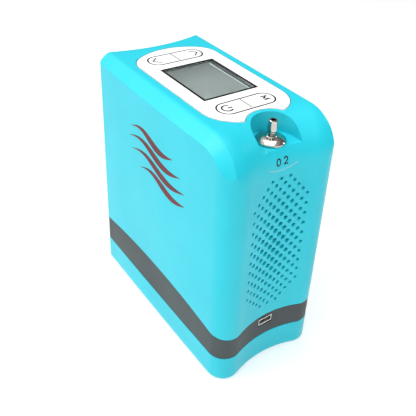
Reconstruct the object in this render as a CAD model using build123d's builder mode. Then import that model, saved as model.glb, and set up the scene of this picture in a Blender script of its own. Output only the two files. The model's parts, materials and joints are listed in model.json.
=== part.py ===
from build123d import *
import os
from math import acos, cos, degrees, hypot, radians, sin, sqrt, tan

# Portable oxygen concentrator.
# Millimetres.  X runs across the width, -Y is the hollowed grille end, +Y the filter end,
# +Z is up, and the origin is under the middle of the case, on the surface that it stands on.

os.makedirs("parts", exist_ok=True)

# ---------------------------------------------------------------- driving dimensions
WIDTH = 97.6              # across the bowed sides
HEIGHT = 204.0            # from the standing surface to the top face
WALL = 2.5                # moulded shells
SIDE_BOW = 0.6            # how far each side face swells at mid length
LEAN = 3.3                # degrees that the grille end leans back
FRONT_MID = -82.8         # y of the middle of the hollowed grille end, at the base
FRONT_RADIUS = 90.0       # hollow of the grille end
FRONT_CORNER = 14.0
BACK_MID = 82.2           # y of the middle of the hollowed filter end
BACK_RADIUS = 137.0
BACK_CORNER = 2.8
INNER_CORNER = 0.8        # least rounding of the walls' inner corners
LOBE_AHEAD = 5.75         # how far the end's two lobes stand ahead of its hollow
LOBE_RADIUS = 33.0        # the top round's turn in plan, over each lobe
LOBE_SWEEP = 22.0         # degrees that the top round follows each lobe past its foremost point
TOP_ROUND = 30.0          # large round from the grille end to the top face
BEVEL = 8.0               # 45 degree bevel along the top edges
BEVEL_BLEND = 4.0         # softening of the bevel's upper crease
BASE_Z = 0.8              # underside of the base tray; the feet reach down to zero
BAND_LOW = 24.0
BAND_HIGH = 54.0          # crown of the arched seam over the band
ARCH_Y = 12.0
ARCH_RADIUS = 500.0
SEAM = 0.5                # shadow gap above and below the grey band
TONGUE = 1.8              # thickness of the band's inner tongue
TONGUE_LOW = 19.5
TONGUE_HIGH = 58.5

# Top face: panel, display and keys
PANEL_T = 1.6
PANEL_PROUD = 0.1
PANEL_HALF = 34.6
PANEL_BACK = 74.4
PANEL_FRONT = -50.0
NOTCH_R = 20.5
DISPLAY_HALF = 23.1
DISPLAY_Y = (-14.2, 41.5)
WINDOW_HALF = 21.4
WINDOW_Y = (-12.6, 39.8)
KEY_LENGTH = 45.3         # one pill, two keys
KEY_HEIGHT = 13.9
KEY_ROWS = {"upper": 56.9, "lower": -30.0}
KEY_GAP = 0.3

# Outlet recess and fitting
RECESS_R = 17.3
RECESS_Y = -62.0
RECESS_Z = HEIGHT - 14.2
OUTLET_Y = -57.6
SHANK_R = 4.0

# Grille in the hollowed end
GRILLE_Z = 113.2
GRILLE_STEP_X = 3.92
GRILLE_STEP_Z = 4.27
GRILLE_COLUMNS = 6        # columns each side of the middle one
HOLE_BIG = 2.25
HOLE_SMALL = 1.2

# Sockets in the band
USB_X = 0.0
USB_Z = 38.6
USB_W = 13.1
USB_H = 5.9
USB_DEPTH = 13.0
USB_SHADOW = 3.0          # how much taller the opening in the band is than the socket
JACK_X = 22.0
JACK_Z = 37.0

# Filter cover in the back wall
COVER_HALF = 22.5
COVER_Z = (112.0, 164.0)
COVER_GAP = 0.4

# Machine inside
DECK_Z = 52.0             # underside of the chassis plate
DECK_T = 2.0
CRANK_Z = 80.0            # height of the cylinder axis
THROW = 2.0               # eccentric offset, half of the stroke
BORE_R = 14.0
FIT = 0.05                # running clearance of shafts and pistons, radial
COLUMN_X = 28.0
COLUMN_Y = 62.0
COLUMN_R = 14.5
FAN_Y = -69.5             # front face of the fan
FAN_T = 15.0
FAN_HALF = 30.0
FOOT_XY = (30.0, 68.0)
BOSS_SPOTS = ((-40.5, -66.0), (40.5, -66.0), (-40.5, 40.0), (40.5, 40.0))
BOSS_Z = 59.0             # lower end of the upper housing's screw bosses
SCREW_R = 1.5
CELL_R = 9.2
CELL_PITCH = 18.7
CELL_COUNT = 8
CELL_Z = 16.6

SLOPE = tan(radians(LEAN))
NEAR = 0.01               # closeness for picking edges by their place


# ---------------------------------------------------------------- shared forms
def arc_edge(mid, radius, x, side):
    """y at x of a shallow hollow arc whose middle is at mid; side is -1 front, 1 back."""
    return mid + side * (radius - sqrt(radius**2 - x**2))


def plan(z, inset=0.0):
    """Outline of the case at height z: bowed sides, hollowed ends and round corners."""
    half = WIDTH / 2 - SIDE_BOW
    front_mid = FRONT_MID + z * SLOPE
    front = arc_edge(FRONT_MID, FRONT_RADIUS, half, -1) + z * SLOPE
    back = arc_edge(BACK_MID, BACK_RADIUS, half, 1)
    with BuildSketch(Plane.XY.offset(z), mode=Mode.PRIVATE) as outline:
        with BuildLine():
            ThreePointArc((-half, front), (0, front_mid), (half, front))
            ThreePointArc((half, front), (WIDTH / 2, 0), (half, back))
            ThreePointArc((half, back), (0, BACK_MID), (-half, back))
            ThreePointArc((-half, back), (-WIDTH / 2, 0), (-half, front))
        make_face()
        if inset:
            offset(amount=-inset)
        fillet(outline.vertices().group_by(Axis.Y)[0], FRONT_CORNER - inset)
        fillet(outline.vertices().group_by(Axis.Y)[-1], max(BACK_CORNER - inset, INNER_CORNER))
    return outline.sketch


def tower(inset):
    """The case as a leaning block, before its top is rounded and bevelled."""
    with BuildPart(mode=Mode.PRIVATE) as block:
        loft(sections=[plan(0, inset), plan(HEIGHT, inset)], ruled=True)
    return block.part


def is_rim(edge):
    """True for an edge of the top cutter that isn't on its bottom or its back end."""
    return edge.center().Z > -10 and edge.center().Y < 119


def rounded_top(inset):
    """Cutter with the large front round and the bevel along the top edges."""
    lean = radians(LEAN)
    lobe = FRONT_MID - LOBE_AHEAD - 0.5 + inset / cos(lean)      # ahead of the foremost corners
    top = HEIGHT - inset
    radius = TOP_ROUND - inset
    centre_z = top - radius
    centre_y = lobe + centre_z * SLOPE + radius / cos(lean)
    middle = radians((90 - LEAN) / 2)
    arc_start = (centre_y, top)
    arc_middle = (centre_y - radius * sin(middle), centre_z + radius * cos(middle))
    arc_end = (centre_y - radius * cos(lean), centre_z + radius * sin(lean))
    foot = (lobe - 10 * SLOPE, -10)
    half = WIDTH / 2 - inset
    bevel = BEVEL - inset * (2 - sqrt(2))
    with BuildPart(mode=Mode.PRIVATE) as cutter:
        with BuildSketch(Plane.YZ):
            with BuildLine():
                ThreePointArc(arc_start, arc_middle, arc_end)
                Polyline(arc_end, foot, (120, -10), (120, top), arc_start)
            make_face()
        extrude(amount=half, both=True)
        rim = [
            edge
            for edge in cutter.edges()
            if abs(abs(edge.center().X) - half) < NEAR and is_rim(edge)
        ]
        chamfer(rim, bevel)
        crease = [
            edge
            for edge in cutter.edges()
            if abs(abs(edge.center().X) - (half - bevel)) < NEAR and is_rim(edge)
        ]
        fillet(crease, BEVEL_BLEND)
    return cutter.part


def top_round_tool(inset):
    """What the large round takes off: it follows the hollow, then turns over each lobe."""
    lean = radians(LEAN)
    radius = TOP_ROUND - inset
    overlap = 0.03            # lets the round cross the top and end faces at a clear angle
    centre_z = HEIGHT - inset + overlap - radius
    centre_y = FRONT_MID + centre_z * SLOPE + (inset + radius) / cos(lean) + overlap
    middle = radians((90 - LEAN) / 2)
    top_z = centre_z + radius
    arc_middle = (centre_y - radius * sin(middle), centre_z + radius * cos(middle))
    tangent = (centre_y - radius * cos(lean), centre_z + radius * sin(lean))
    drop = 12.0               # the tool's foot leans off the end face by one degree more
    foot_y = tangent[0] - drop * tan(lean + radians(1))
    foot_z = tangent[1] - drop
    air_y = foot_y - 25.0
    hollow_y = FRONT_MID + tangent[1] * SLOPE - FRONT_RADIUS
    reach = FRONT_RADIUS + LOBE_RADIUS
    turn = acos(1 - LOBE_AHEAD / reach)
    lobe_centre = (reach * sin(turn), hollow_y + reach * cos(turn))

    def profile(plane, at):
        """Air side of the round; at() gives the plane's own coordinate for a y."""
        with BuildSketch(plane, mode=Mode.PRIVATE) as air:
            with BuildLine():
                arc_start = (at(centre_y), top_z)
                arc_end = (at(tangent[0]), tangent[1])
                ThreePointArc(arc_start, (at(arc_middle[0]), arc_middle[1]), arc_end)
                Polyline(
                    arc_end, (at(foot_y), foot_z), (at(air_y), foot_z),
                    (at(air_y), top_z + 10), (at(centre_y), top_z + 10), arc_start,
                )
            make_face()
        return air.sketch

    outward = (-sin(turn), -cos(turn), 0)
    lobe_plane = Plane(origin=(*lobe_centre, 0), x_dir=outward, z_dir=(outward[1], -outward[0], 0))
    to_lobe = hollow_y + reach
    with BuildPart(mode=Mode.PRIVATE) as tool:
        revolve(
            profile(Plane.YZ, lambda y: y),
            axis=Axis((0, hollow_y, 0), (0, 0, -1)),
            revolution_arc=degrees(turn),
        )
        revolve(
            profile(lobe_plane, lambda y: to_lobe - y), axis=Axis((*lobe_centre, 0), (0, 0, 1)),
            revolution_arc=degrees(turn) + LOBE_SWEEP,
        )
        mirror(about=Plane.YZ)
    return tool.part


def case_form(inset):
    """Whole outer form of the case, moved inwards by inset."""
    with BuildPart(mode=Mode.PRIVATE) as form:
        add(tower(inset))
        add(rounded_top(inset), mode=Mode.INTERSECT)
        add(top_round_tool(inset), mode=Mode.SUBTRACT)
    return form.part


def hoop(outer, inner, low, high):
    """Ring that follows the case wall between two insets and two heights."""
    with BuildPart(mode=Mode.PRIVATE) as ring:
        add(tower(outer))
        add(tower(inner), mode=Mode.SUBTRACT)
        split(bisect_by=Plane.XY.offset(low), keep=Keep.TOP)
        split(bisect_by=Plane.XY.offset(high), keep=Keep.BOTTOM)
    return ring.part


def under_arch(gap=0.0):
    """Everything below the arched seam over the band, lowered by gap."""
    crown = BAND_HIGH - gap
    reach = 110.0
    front_end = (ARCH_Y - reach, crown - ARCH_RADIUS + sqrt(ARCH_RADIUS**2 - reach**2))
    back_end = (ARCH_Y + reach, front_end[1])
    with BuildPart(mode=Mode.PRIVATE) as block:
        with BuildSketch(Plane.YZ):
            with BuildLine():
                ThreePointArc(front_end, (ARCH_Y, crown), back_end)
                Polyline(back_end, (back_end[0], -10), (front_end[0], -10), front_end)
            make_face()
        extrude(amount=WIDTH, both=True)
    return block.part


outer_form = case_form(0.0)
inner_form = case_form(WALL)


def save(part, name):
    part.label = name
    export_step(part, f"parts/{name}.step")


def recess_plan(z, grow):
    """Round-backed recess, open towards the grille end."""
    with BuildSketch(Plane.XY.offset(z), mode=Mode.PRIVATE) as outline:
        with Locations((0, RECESS_Y)):
            Circle(RECESS_R + grow)
        with Locations((0, RECESS_Y - 30)):
            Rectangle(2 * (RECESS_R + grow), 60)
    return outline.sketch


def panel_plan(z, grow=0.0):
    """White panel: rounded corners, an arched back edge and a notch round the recess."""
    half = PANEL_HALF + grow
    with BuildSketch(Plane.XY.offset(z), mode=Mode.PRIVATE) as outline:
        with BuildLine():
            ThreePointArc((-half, 60.0), (0, PANEL_BACK + grow), (half, 60.0))
            Polyline((half, 60.0), (half, PANEL_FRONT - grow), (-half, PANEL_FRONT - grow), (-half, 60.0))
        make_face()
        fillet(outline.vertices().group_by(Axis.Y)[-1], 18.0)
        fillet(outline.vertices().group_by(Axis.Y)[0], 23.5)
        with Locations((0, RECESS_Y)):
            Circle(NOTCH_R - grow, mode=Mode.SUBTRACT)
    return outline.sketch


def key_plan(z, row, side, grow=0.0):
    """Half of a pill: one key, left or right of the middle."""
    with BuildSketch(Plane.XY.offset(z), mode=Mode.PRIVATE) as outline:
        with Locations((0, KEY_ROWS[row])):
            SlotOverall(KEY_LENGTH + 2 * grow, KEY_HEIGHT + 2 * grow)
        with Locations((side * (50 + KEY_GAP / 2), KEY_ROWS[row])):
            Rectangle(100, 100, mode=Mode.INTERSECT)
    return outline.sketch


# ---------------------------------------------------------------- casing
with BuildPart() as tray_cavity:
    add(inner_form)
    split(bisect_by=Plane.XY.offset(BASE_Z + WALL), keep=Keep.TOP)

with BuildPart() as base_tray:
    add(outer_form)
    split(bisect_by=Plane.XY.offset(BAND_LOW), keep=Keep.BOTTOM)
    split(bisect_by=Plane.XY.offset(BASE_Z), keep=Keep.TOP)
    fillet(base_tray.faces().sort_by(Axis.Z)[0].edges(), 2.0)
    add(tray_cavity.part, mode=Mode.SUBTRACT)
    with BuildSketch(Plane.XY.offset(BASE_Z)):
        with Locations(*BOSS_SPOTS):
            Circle(3.5)
    extrude(amount=TONGUE_LOW - 0.2 - BASE_Z)
    with BuildSketch(Plane.XY.offset(BASE_Z)):
        with Locations(*BOSS_SPOTS):
            Circle(SCREW_R + FIT)
    extrude(amount=30, mode=Mode.SUBTRACT)
    with BuildSketch(Plane.XY.offset(BASE_Z)):
        with Locations(*BOSS_SPOTS):
            Circle(2.8)
    extrude(amount=1.8, mode=Mode.SUBTRACT)
    with BuildSketch(Plane.XY.offset(BASE_Z)):
        with GridLocations(2 * FOOT_XY[0], 2 * FOOT_XY[1], 2, 2):
            Circle(6.5)
    extrude(amount=1.2, mode=Mode.SUBTRACT)
save(base_tray.part, "base_tray")

with BuildPart() as band_face:
    add(hoop(0.15, WALL + 1.0, BAND_LOW + SEAM, BAND_HIGH))
    add(under_arch(SEAM), mode=Mode.INTERSECT)

with BuildPart() as mid_band:
    add(band_face.part)
    add(hoop(WALL + 0.5, WALL + 0.5 + TONGUE, TONGUE_LOW, TONGUE_HIGH))
    add(hoop(WALL + 1.0, WALL + 4.5, DECK_Z - 2, DECK_Z))
    with BuildSketch(Plane.XY.offset(TONGUE_LOW)):
        with Locations(*BOSS_SPOTS):
            Circle(3.5)
    extrude(amount=DECK_Z - TONGUE_LOW)
    with BuildSketch(Plane.XY.offset(TONGUE_LOW)):
        with Locations(*BOSS_SPOTS):
            Circle(SCREW_R + FIT)
    extrude(amount=60.0, mode=Mode.SUBTRACT)
    with BuildSketch(Plane.XZ.offset(60)):
        with Locations((USB_X, USB_Z)):
            Rectangle(USB_W + 0.3, USB_H + USB_SHADOW)
    extrude(amount=50, mode=Mode.SUBTRACT)
    with BuildSketch(Plane.XZ.offset(-60)):
        with Locations((JACK_X, JACK_Z)):
            Circle(5.0)
    extrude(amount=-50, mode=Mode.SUBTRACT)
save(mid_band.part, "mid_band")

with BuildPart() as upper_cavity:
    add(inner_form)
    extrude(recess_plan(RECESS_Z - WALL, WALL), amount=60, mode=Mode.SUBTRACT)

grille_spots = []
for column in range(-GRILLE_COLUMNS, GRILLE_COLUMNS + 1):
    half_rows = min(13, 15 - abs(column))
    first = half_rows if (half_rows - column) % 2 else half_rows - 1
    for row in range(-first, first + 1, 2):
        spread = hypot(column / 7.5, row / 15)
        grille_spots.append((
            (column * GRILLE_STEP_X, GRILLE_Z + row * GRILLE_STEP_Z),
            HOLE_BIG + (HOLE_SMALL - HOLE_BIG) * min(1, spread),
        ))

with BuildPart() as upper_housing:
    add(outer_form)
    add(under_arch(), mode=Mode.SUBTRACT)
    add(upper_cavity.part, mode=Mode.SUBTRACT)
    extrude(recess_plan(RECESS_Z, 0), amount=60, mode=Mode.SUBTRACT)
    extrude(panel_plan(HEIGHT - PANEL_T, 0.12), amount=5, mode=Mode.SUBTRACT)
    with BuildSketch(Plane.XY.offset(HEIGHT - 5)):
        with Locations((0, 13.0)):
            RectangleRounded(62, 108, 6)
    extrude(amount=8, mode=Mode.SUBTRACT)
    with Locations((0, OUTLET_Y, RECESS_Z)):
        Hole(SHANK_R + 0.1, depth=WALL + 1)
    with BuildSketch(Plane.XY.offset(BOSS_Z)):
        with Locations(*BOSS_SPOTS):
            Circle(3.5)
        for boss_x, boss_y in BOSS_SPOTS:
            with Locations((boss_x * 1.085, boss_y)):
                Rectangle(5.0, 2.0)
    extrude(amount=16)
    with BuildSketch(Plane.XY.offset(BOSS_Z)):
        with Locations(*BOSS_SPOTS):
            Circle(SCREW_R + FIT)
    extrude(amount=14, mode=Mode.SUBTRACT)
    with BuildSketch(Plane.XZ.offset(50)):
        for spot, radius in grille_spots:
            with Locations(spot):
                Circle(radius)
    extrude(amount=60, mode=Mode.SUBTRACT)
    with BuildSketch(Plane.XZ.offset(-60)):
        with Locations((0, sum(COVER_Z) / 2)):
            RectangleRounded(2 * COVER_HALF, COVER_Z[1] - COVER_Z[0], 4)
    extrude(amount=-40, mode=Mode.SUBTRACT)
save(upper_housing.part, "upper_housing")

with BuildPart() as rear_filter_cover:
    with BuildSketch(Plane.XZ.offset(-60)):
        with Locations((0, sum(COVER_Z) / 2)):
            height = COVER_Z[1] - COVER_Z[0] - 2 * COVER_GAP
            RectangleRounded(2 * (COVER_HALF - COVER_GAP), height, 3.6)
    extrude(amount=-40)
    add(outer_form, mode=Mode.INTERSECT)
    add(inner_form, mode=Mode.SUBTRACT)
    with BuildSketch(Plane.XZ.offset(-60)):
        with Locations((0, sum(COVER_Z) / 2)):
            with GridLocations(0, 5.0, 1, 8):
                SlotOverall(34, 2.4)
    extrude(amount=-40, mode=Mode.SUBTRACT)
save(rear_filter_cover.part, "rear_filter_cover")

with BuildPart() as foam_filter:
    with Locations((0, 77.3, sum(COVER_Z) / 2)):
        Box(42, 4, COVER_Z[1] - COVER_Z[0] - 6)
save(foam_filter.part, "foam_filter")

with BuildPart() as rubber_feet:
    with BuildSketch():
        with GridLocations(2 * FOOT_XY[0], 2 * FOOT_XY[1], 2, 2):
            Circle(6.2)
    extrude(amount=BASE_Z + 1.2)
    chamfer(rubber_feet.faces().group_by(Axis.Z)[0].edges(), 0.5)
save(rubber_feet.part, "rubber_feet")

with BuildPart() as case_screws:
    with BuildSketch(Plane.XY.offset(BASE_Z + 0.4)):
        with Locations(*BOSS_SPOTS):
            Circle(2.6)
    extrude(amount=1.4)
    with BuildSketch(Plane.XY.offset(BASE_Z + 1.8)):
        with Locations(*BOSS_SPOTS):
            Circle(SCREW_R)
    extrude(amount=66.0)
save(case_screws.part, "case_screws")

# ---------------------------------------------------------------- top face
with BuildPart() as control_panel:
    extrude(panel_plan(HEIGHT - PANEL_T), amount=PANEL_T + PANEL_PROUD)
    chamfer(control_panel.faces().sort_by(Axis.Z)[-1].edges(), 0.25)
    with BuildSketch(Plane.XY.offset(HEIGHT - 3)):
        with Locations((0, sum(DISPLAY_Y) / 2)):
            Rectangle(2 * DISPLAY_HALF + 0.2, DISPLAY_Y[1] - DISPLAY_Y[0] + 0.2)
        for row_y in KEY_ROWS.values():
            with Locations((0, row_y)):
                SlotOverall(KEY_LENGTH + 2 * KEY_GAP, KEY_HEIGHT + 2 * KEY_GAP)
    extrude(amount=6, mode=Mode.SUBTRACT)
save(control_panel.part, "control_panel")

with BuildPart() as display_bezel:
    with BuildSketch(Plane.XY.offset(HEIGHT - PANEL_T)):
        with Locations((0, sum(DISPLAY_Y) / 2)):
            Rectangle(2 * DISPLAY_HALF, DISPLAY_Y[1] - DISPLAY_Y[0])
        with Locations((0, sum(WINDOW_Y) / 2)):
            Rectangle(2 * WINDOW_HALF, WINDOW_Y[1] - WINDOW_Y[0], mode=Mode.SUBTRACT)
    extrude(amount=PANEL_T + 0.2)
save(display_bezel.part, "display_bezel")

with BuildPart() as display_lens:
    with Locations((0, sum(WINDOW_Y) / 2, HEIGHT - 0.6)):
        Box(2 * WINDOW_HALF - 0.1, WINDOW_Y[1] - WINDOW_Y[0] - 0.1, 1.0)
save(display_lens.part, "display_lens")

with BuildPart() as lcd_module:
    with Locations((0, sum(DISPLAY_Y) / 2, HEIGHT - 4.1)):
        Box(46, 55, 4.6)
save(lcd_module.part, "lcd_module")

BOARD_TOP = HEIGHT - 6.6
with BuildPart() as display_board:
    with Locations((0, 13.0, BOARD_TOP - 0.8)):
        Box(60, 105, 1.6)
    with Locations((0, -6.0, BOARD_TOP - 3.6)):
        Box(14, 22, 4.0)
save(display_board.part, "display_board")

KEYS = {
    "key_down": ("upper", -1),
    "key_up": ("upper", 1),
    "key_power": ("lower", -1),
    "key_mode": ("lower", 1),
}
KEY_X = KEY_LENGTH / 4
for name, (row, side) in KEYS.items():
    with BuildPart() as key:
        extrude(key_plan(HEIGHT - 2.0, row, side), amount=2.3)
        fillet(key.faces().sort_by(Axis.Z)[-1].edges(), 0.3)
        extrude(key_plan(HEIGHT - 2.6, row, side, 0.9), amount=0.8)
        with BuildSketch(Plane.XY.offset(HEIGHT - 3.4)):
            with Locations((side * KEY_X, KEY_ROWS[row])):
                Circle(2.0)
        extrude(amount=1.2)
    save(key.part, name)

with BuildPart() as tact_switches:
    for row_y in KEY_ROWS.values():
        for side in (-1, 1):
            with BuildSketch(Plane.XY.offset(BOARD_TOP)):
                with Locations((side * KEY_X, row_y)):
                    Rectangle(6, 6)
            extrude(amount=1.6)
            with BuildSketch(Plane.XY.offset(BOARD_TOP + 1.6)):
                with Locations((side * KEY_X, row_y)):
                    Circle(1.7)
            extrude(amount=0.9)
save(tact_switches.part, "tact_switches")

with BuildPart() as buzzer:
    with BuildSketch(Plane.XY.offset(BOARD_TOP)):
        with Locations((-24.0, 58.0)):
            Circle(4.5)
            Circle(0.8, mode=Mode.SUBTRACT)
    extrude(amount=2.2)
save(buzzer.part, "buzzer")

# ---------------------------------------------------------------- outlet fitting
with BuildPart() as outlet_seal:
    with BuildSketch(Plane.XY.offset(RECESS_Z)):
        with Locations((0, OUTLET_Y)):
            Circle(9.4)
            Circle(SHANK_R + 0.1, mode=Mode.SUBTRACT)
    extrude(amount=0.5)
save(outlet_seal.part, "outlet_seal")

with BuildPart() as outlet_flange:
    with BuildSketch(Plane.XZ.offset(-OUTLET_Y)):
        with BuildLine():
            inner = SHANK_R + 0.1
            base = RECESS_Z + 0.5
            Polyline((inner, base + 3.3), (inner, base), (10.3, base), (10.3, base + 0.9))
            ThreePointArc((10.3, base + 0.9), (7.2, base + 2.7), (inner, base + 3.3))
        make_face()
    revolve(axis=Axis((0, OUTLET_Y, 0), (0, 0, 1)))
save(outlet_flange.part, "outlet_flange")

TIP_Z = RECESS_Z + 15.2
BARB_R = 3.5
LAND = 1.2                # cylindrical land at the barb's widest place
LAND_Z = TIP_Z - 7.2
with BuildPart() as outlet_nipple:
    with BuildSketch(Plane.XZ.offset(-OUTLET_Y)):
        with BuildLine():
            dome = RECESS_Z + 0.5 + 3.3
            Polyline(
                (1.5, RECESS_Z - 13.0), (2.4, RECESS_Z - 13.0),
                (2.9, RECESS_Z - 9.5), (SHANK_R, RECESS_Z - 9.5),
                (SHANK_R, dome), (3.4, dome + 0.5), (2.2, dome + 0.9),
                (2.2, LAND_Z - 2.0), (2.9, LAND_Z - 1.7), (2.9, LAND_Z - 1.1),
                (2.3, LAND_Z - 0.8), (2.3, LAND_Z - 0.4),
                (BARB_R, LAND_Z), (BARB_R, LAND_Z + LAND),
                (2.8, TIP_Z - 0.4), (2.5, TIP_Z), (1.5, TIP_Z), (1.5, RECESS_Z - 13.0),
            )
        make_face()
    revolve(axis=Axis((0, OUTLET_Y, 0), (0, 0, 1)))
save(outlet_nipple.part, "outlet_nipple")

with BuildPart() as outlet_nut:
    with BuildSketch(Plane.XY.offset(RECESS_Z - WALL - 4.2)):
        with Locations((0, OUTLET_Y)):
            RegularPolygon(7.0, 6)
            Circle(SHANK_R + 0.02, mode=Mode.SUBTRACT)
    extrude(amount=4.1)
save(outlet_nut.part, "outlet_nut")

# ---------------------------------------------------------------- sockets in the band
USB_FACE = FRONT_MID + USB_Z * SLOPE + 0.25
with BuildPart() as usb_shell:
    with BuildSketch(Plane.XZ.offset(-USB_FACE - USB_DEPTH)):
        with Locations((USB_X, USB_Z)):
            RectangleRounded(USB_W, USB_H, 0.6)
            Rectangle(USB_W - 0.8, USB_H - 0.8, mode=Mode.SUBTRACT)
    extrude(amount=USB_DEPTH)
    with BuildSketch(Plane.XZ.offset(-USB_FACE - USB_DEPTH - 0.4)):
        with Locations((USB_X, USB_Z)):
            Rectangle(USB_W, USB_H)
    extrude(amount=0.4)
save(usb_shell.part, "usb_shell")

with BuildPart() as usb_tongue:
    with Locations((USB_X, USB_FACE + USB_DEPTH / 2 + 0.9, USB_Z + 0.9)):
        Box(USB_W - 1.6, USB_DEPTH - 1.8, 1.8)
save(usb_tongue.part, "usb_tongue")

with BuildPart() as usb_board:
    with Locations((USB_X, USB_FACE + 16.0, USB_Z - USB_H / 2 - 0.9)):
        Box(20, 22, 1.6)
save(usb_board.part, "usb_board")

JACK_FACE = arc_edge(BACK_MID, BACK_RADIUS, JACK_X, 1)
with BuildPart() as dc_jack:
    with BuildSketch(Plane.XZ.offset(-JACK_FACE + 12.0)):
        with Locations((JACK_X, JACK_Z)):
            Circle(4.8)
            Circle(2.85, mode=Mode.SUBTRACT)
    extrude(amount=-12.0)
    with BuildSketch(Plane.XZ.offset(-JACK_FACE + 14.0)):
        with Locations((JACK_X, JACK_Z)):
            Circle(4.8)
    extrude(amount=-2.0)
    with BuildSketch(Plane.XZ.offset(-JACK_FACE + 12.0)):
        with Locations((JACK_X, JACK_Z)):
            Circle(1.0)
    extrude(amount=-10.5)
save(dc_jack.part, "dc_jack")

# ---------------------------------------------------------------- battery in the base
CASE_LENGTH = CELL_COUNT * CELL_PITCH + 3.0
with BuildPart() as battery_case:
    with BuildSketch(Plane.XY.offset(BASE_Z + WALL + 0.4)):
        RectangleRounded(71, CASE_LENGTH, 3)
    extrude(amount=22.6)
    with BuildSketch(Plane.XY.offset(BASE_Z + WALL + 1.8)):
        RectangleRounded(68, CASE_LENGTH - 2.4, 2)
    extrude(amount=30, mode=Mode.SUBTRACT)
save(battery_case.part, "battery_case")

with BuildPart() as battery_cells:
    with BuildSketch(Plane.YZ.offset(-32.5)):
        with Locations((0, CELL_Z - 1.6)):
            with GridLocations(CELL_PITCH, 0, CELL_COUNT, 1):
                Circle(CELL_R)
    extrude(amount=65)
save(battery_cells.part, "battery_cells")

with BuildPart() as battery_board:
    with Locations((0, 20, 27.6)):
        Box(50, 60, 1.6)
    with Locations((-14, 8, 29.6)):
        Box(12, 10, 2.6)
    with Locations((10, 30, 29.4)):
        Box(8, 16, 2.2)
save(battery_board.part, "battery_board")

# ---------------------------------------------------------------- chassis and compressor
ISOLATOR_XY = (17.0, 14.0)
ISOLATOR_H = 8.0
CRANKCASE_Z = DECK_Z + DECK_T + ISOLATOR_H
CRANKCASE_TOP = 98.0
with BuildPart() as chassis_plate:
    add(tower(WALL + 2.5))
    split(bisect_by=Plane.XY.offset(DECK_Z), keep=Keep.TOP)
    split(bisect_by=Plane.XY.offset(DECK_Z + DECK_T), keep=Keep.BOTTOM)
    with BuildSketch(Plane.XY.offset(DECK_Z)):
        with Locations(*BOSS_SPOTS):
            Circle(4.2)
        with GridLocations(2 * ISOLATOR_XY[0], 2 * ISOLATOR_XY[1], 2, 2):
            Circle(2.1)
        with Locations((0, -45), (0, 36)):
            SlotOverall(34, 12)
    extrude(amount=DECK_T, mode=Mode.SUBTRACT)
save(chassis_plate.part, "chassis_plate")

with BuildPart() as rubber_isolators:
    for z, radius, height in (
        (DECK_Z - 1.4, 3.4, 1.4), (DECK_Z, 2.0, DECK_T), (DECK_Z + DECK_T, 5.0, ISOLATOR_H - 0.2),
    ):
        with BuildSketch(Plane.XY.offset(z)):
            with GridLocations(2 * ISOLATOR_XY[0], 2 * ISOLATOR_XY[1], 2, 2):
                Circle(radius)
        extrude(amount=height)
save(rubber_isolators.part, "rubber_isolators")

with BuildPart() as crankcase:
    with BuildSketch(Plane.XY.offset(CRANKCASE_Z - 0.2)):
        RectangleRounded(44, 40, 4)
    extrude(amount=CRANKCASE_TOP - CRANKCASE_Z + 0.2)
    with BuildSketch(Plane.XY.offset(CRANKCASE_Z + 8)):
        RectangleRounded(36, 34, 2)
    extrude(amount=40, mode=Mode.SUBTRACT)
    with BuildSketch(Plane.XY.offset(CRANKCASE_Z + 2)):
        Circle(9.5)
    extrude(amount=10, mode=Mode.SUBTRACT)
    with BuildSketch(Plane.XZ.offset(25)):
        with Locations((0, CRANK_Z)):
            Circle(BORE_R + 0.5)
    extrude(amount=-50, mode=Mode.SUBTRACT)
save(crankcase.part, "crankcase")

CYLINDER_Y = (20.0, 43.0)
HEAD_T = 6.0
with BuildPart() as cylinders:
    with BuildSketch(Plane.XZ.offset(-CYLINDER_Y[0])):
        with Locations((0, CRANK_Z)):
            Circle(BORE_R + 2.5)
    extrude(amount=CYLINDER_Y[0] - CYLINDER_Y[1])
    for fin in range(5):
        with BuildSketch(Plane.XZ.offset(-CYLINDER_Y[0] - 2.0 - 4.5 * fin)):
            with Locations((0, CRANK_Z)):
                Circle(BORE_R + 3.8)
        extrude(amount=-1.4)
    with BuildSketch(Plane.XZ.offset(-CYLINDER_Y[0])):
        with Locations((0, CRANK_Z)):
            Circle(BORE_R)
    extrude(amount=-40, mode=Mode.SUBTRACT)
    mirror(about=Plane.XZ)
save(cylinders.part, "cylinders")

with BuildPart() as cylinder_heads:
    with BuildSketch(Plane.XZ.offset(-CYLINDER_Y[1])):
        with Locations((0, CRANK_Z)):
            Circle(BORE_R + 4.0)
    extrude(amount=-HEAD_T)
    with BuildSketch(Plane.XY.offset(CRANK_Z)):
        with Locations((0, CYLINDER_Y[1] + HEAD_T / 2)):
            Circle(2.4)
    extrude(amount=BORE_R + 8.0)
    with BuildSketch(Plane.XY.offset(CRANK_Z)):
        with Locations((0, CYLINDER_Y[1] + HEAD_T / 2)):
            Circle(1.2)
    extrude(amount=BORE_R + 9.0, mode=Mode.SUBTRACT)
    with BuildSketch(Plane.XZ.offset(-CYLINDER_Y[1])):
        with Locations((0, CRANK_Z)):
            with PolarLocations(BORE_R + 1.6, 4, 45):
                Circle(1.05)
    extrude(amount=-2 * HEAD_T, mode=Mode.SUBTRACT)
    mirror(about=Plane.XZ)
save(cylinder_heads.part, "cylinder_heads")

with BuildPart() as head_screws:
    with BuildSketch(Plane.XZ.offset(-CYLINDER_Y[1] - HEAD_T)):
        with Locations((0, CRANK_Z)):
            with PolarLocations(BORE_R + 1.6, 4, 45):
                Circle(1.9)
    extrude(amount=-1.6)
    with BuildSketch(Plane.XZ.offset(-CYLINDER_Y[1] - 0.2)):
        with Locations((0, CRANK_Z)):
            with PolarLocations(BORE_R + 1.6, 4, 45):
                Circle(1.0)
    extrude(amount=-HEAD_T + 0.2)
    mirror(about=Plane.XZ)
save(head_screws.part, "head_screws")

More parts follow.
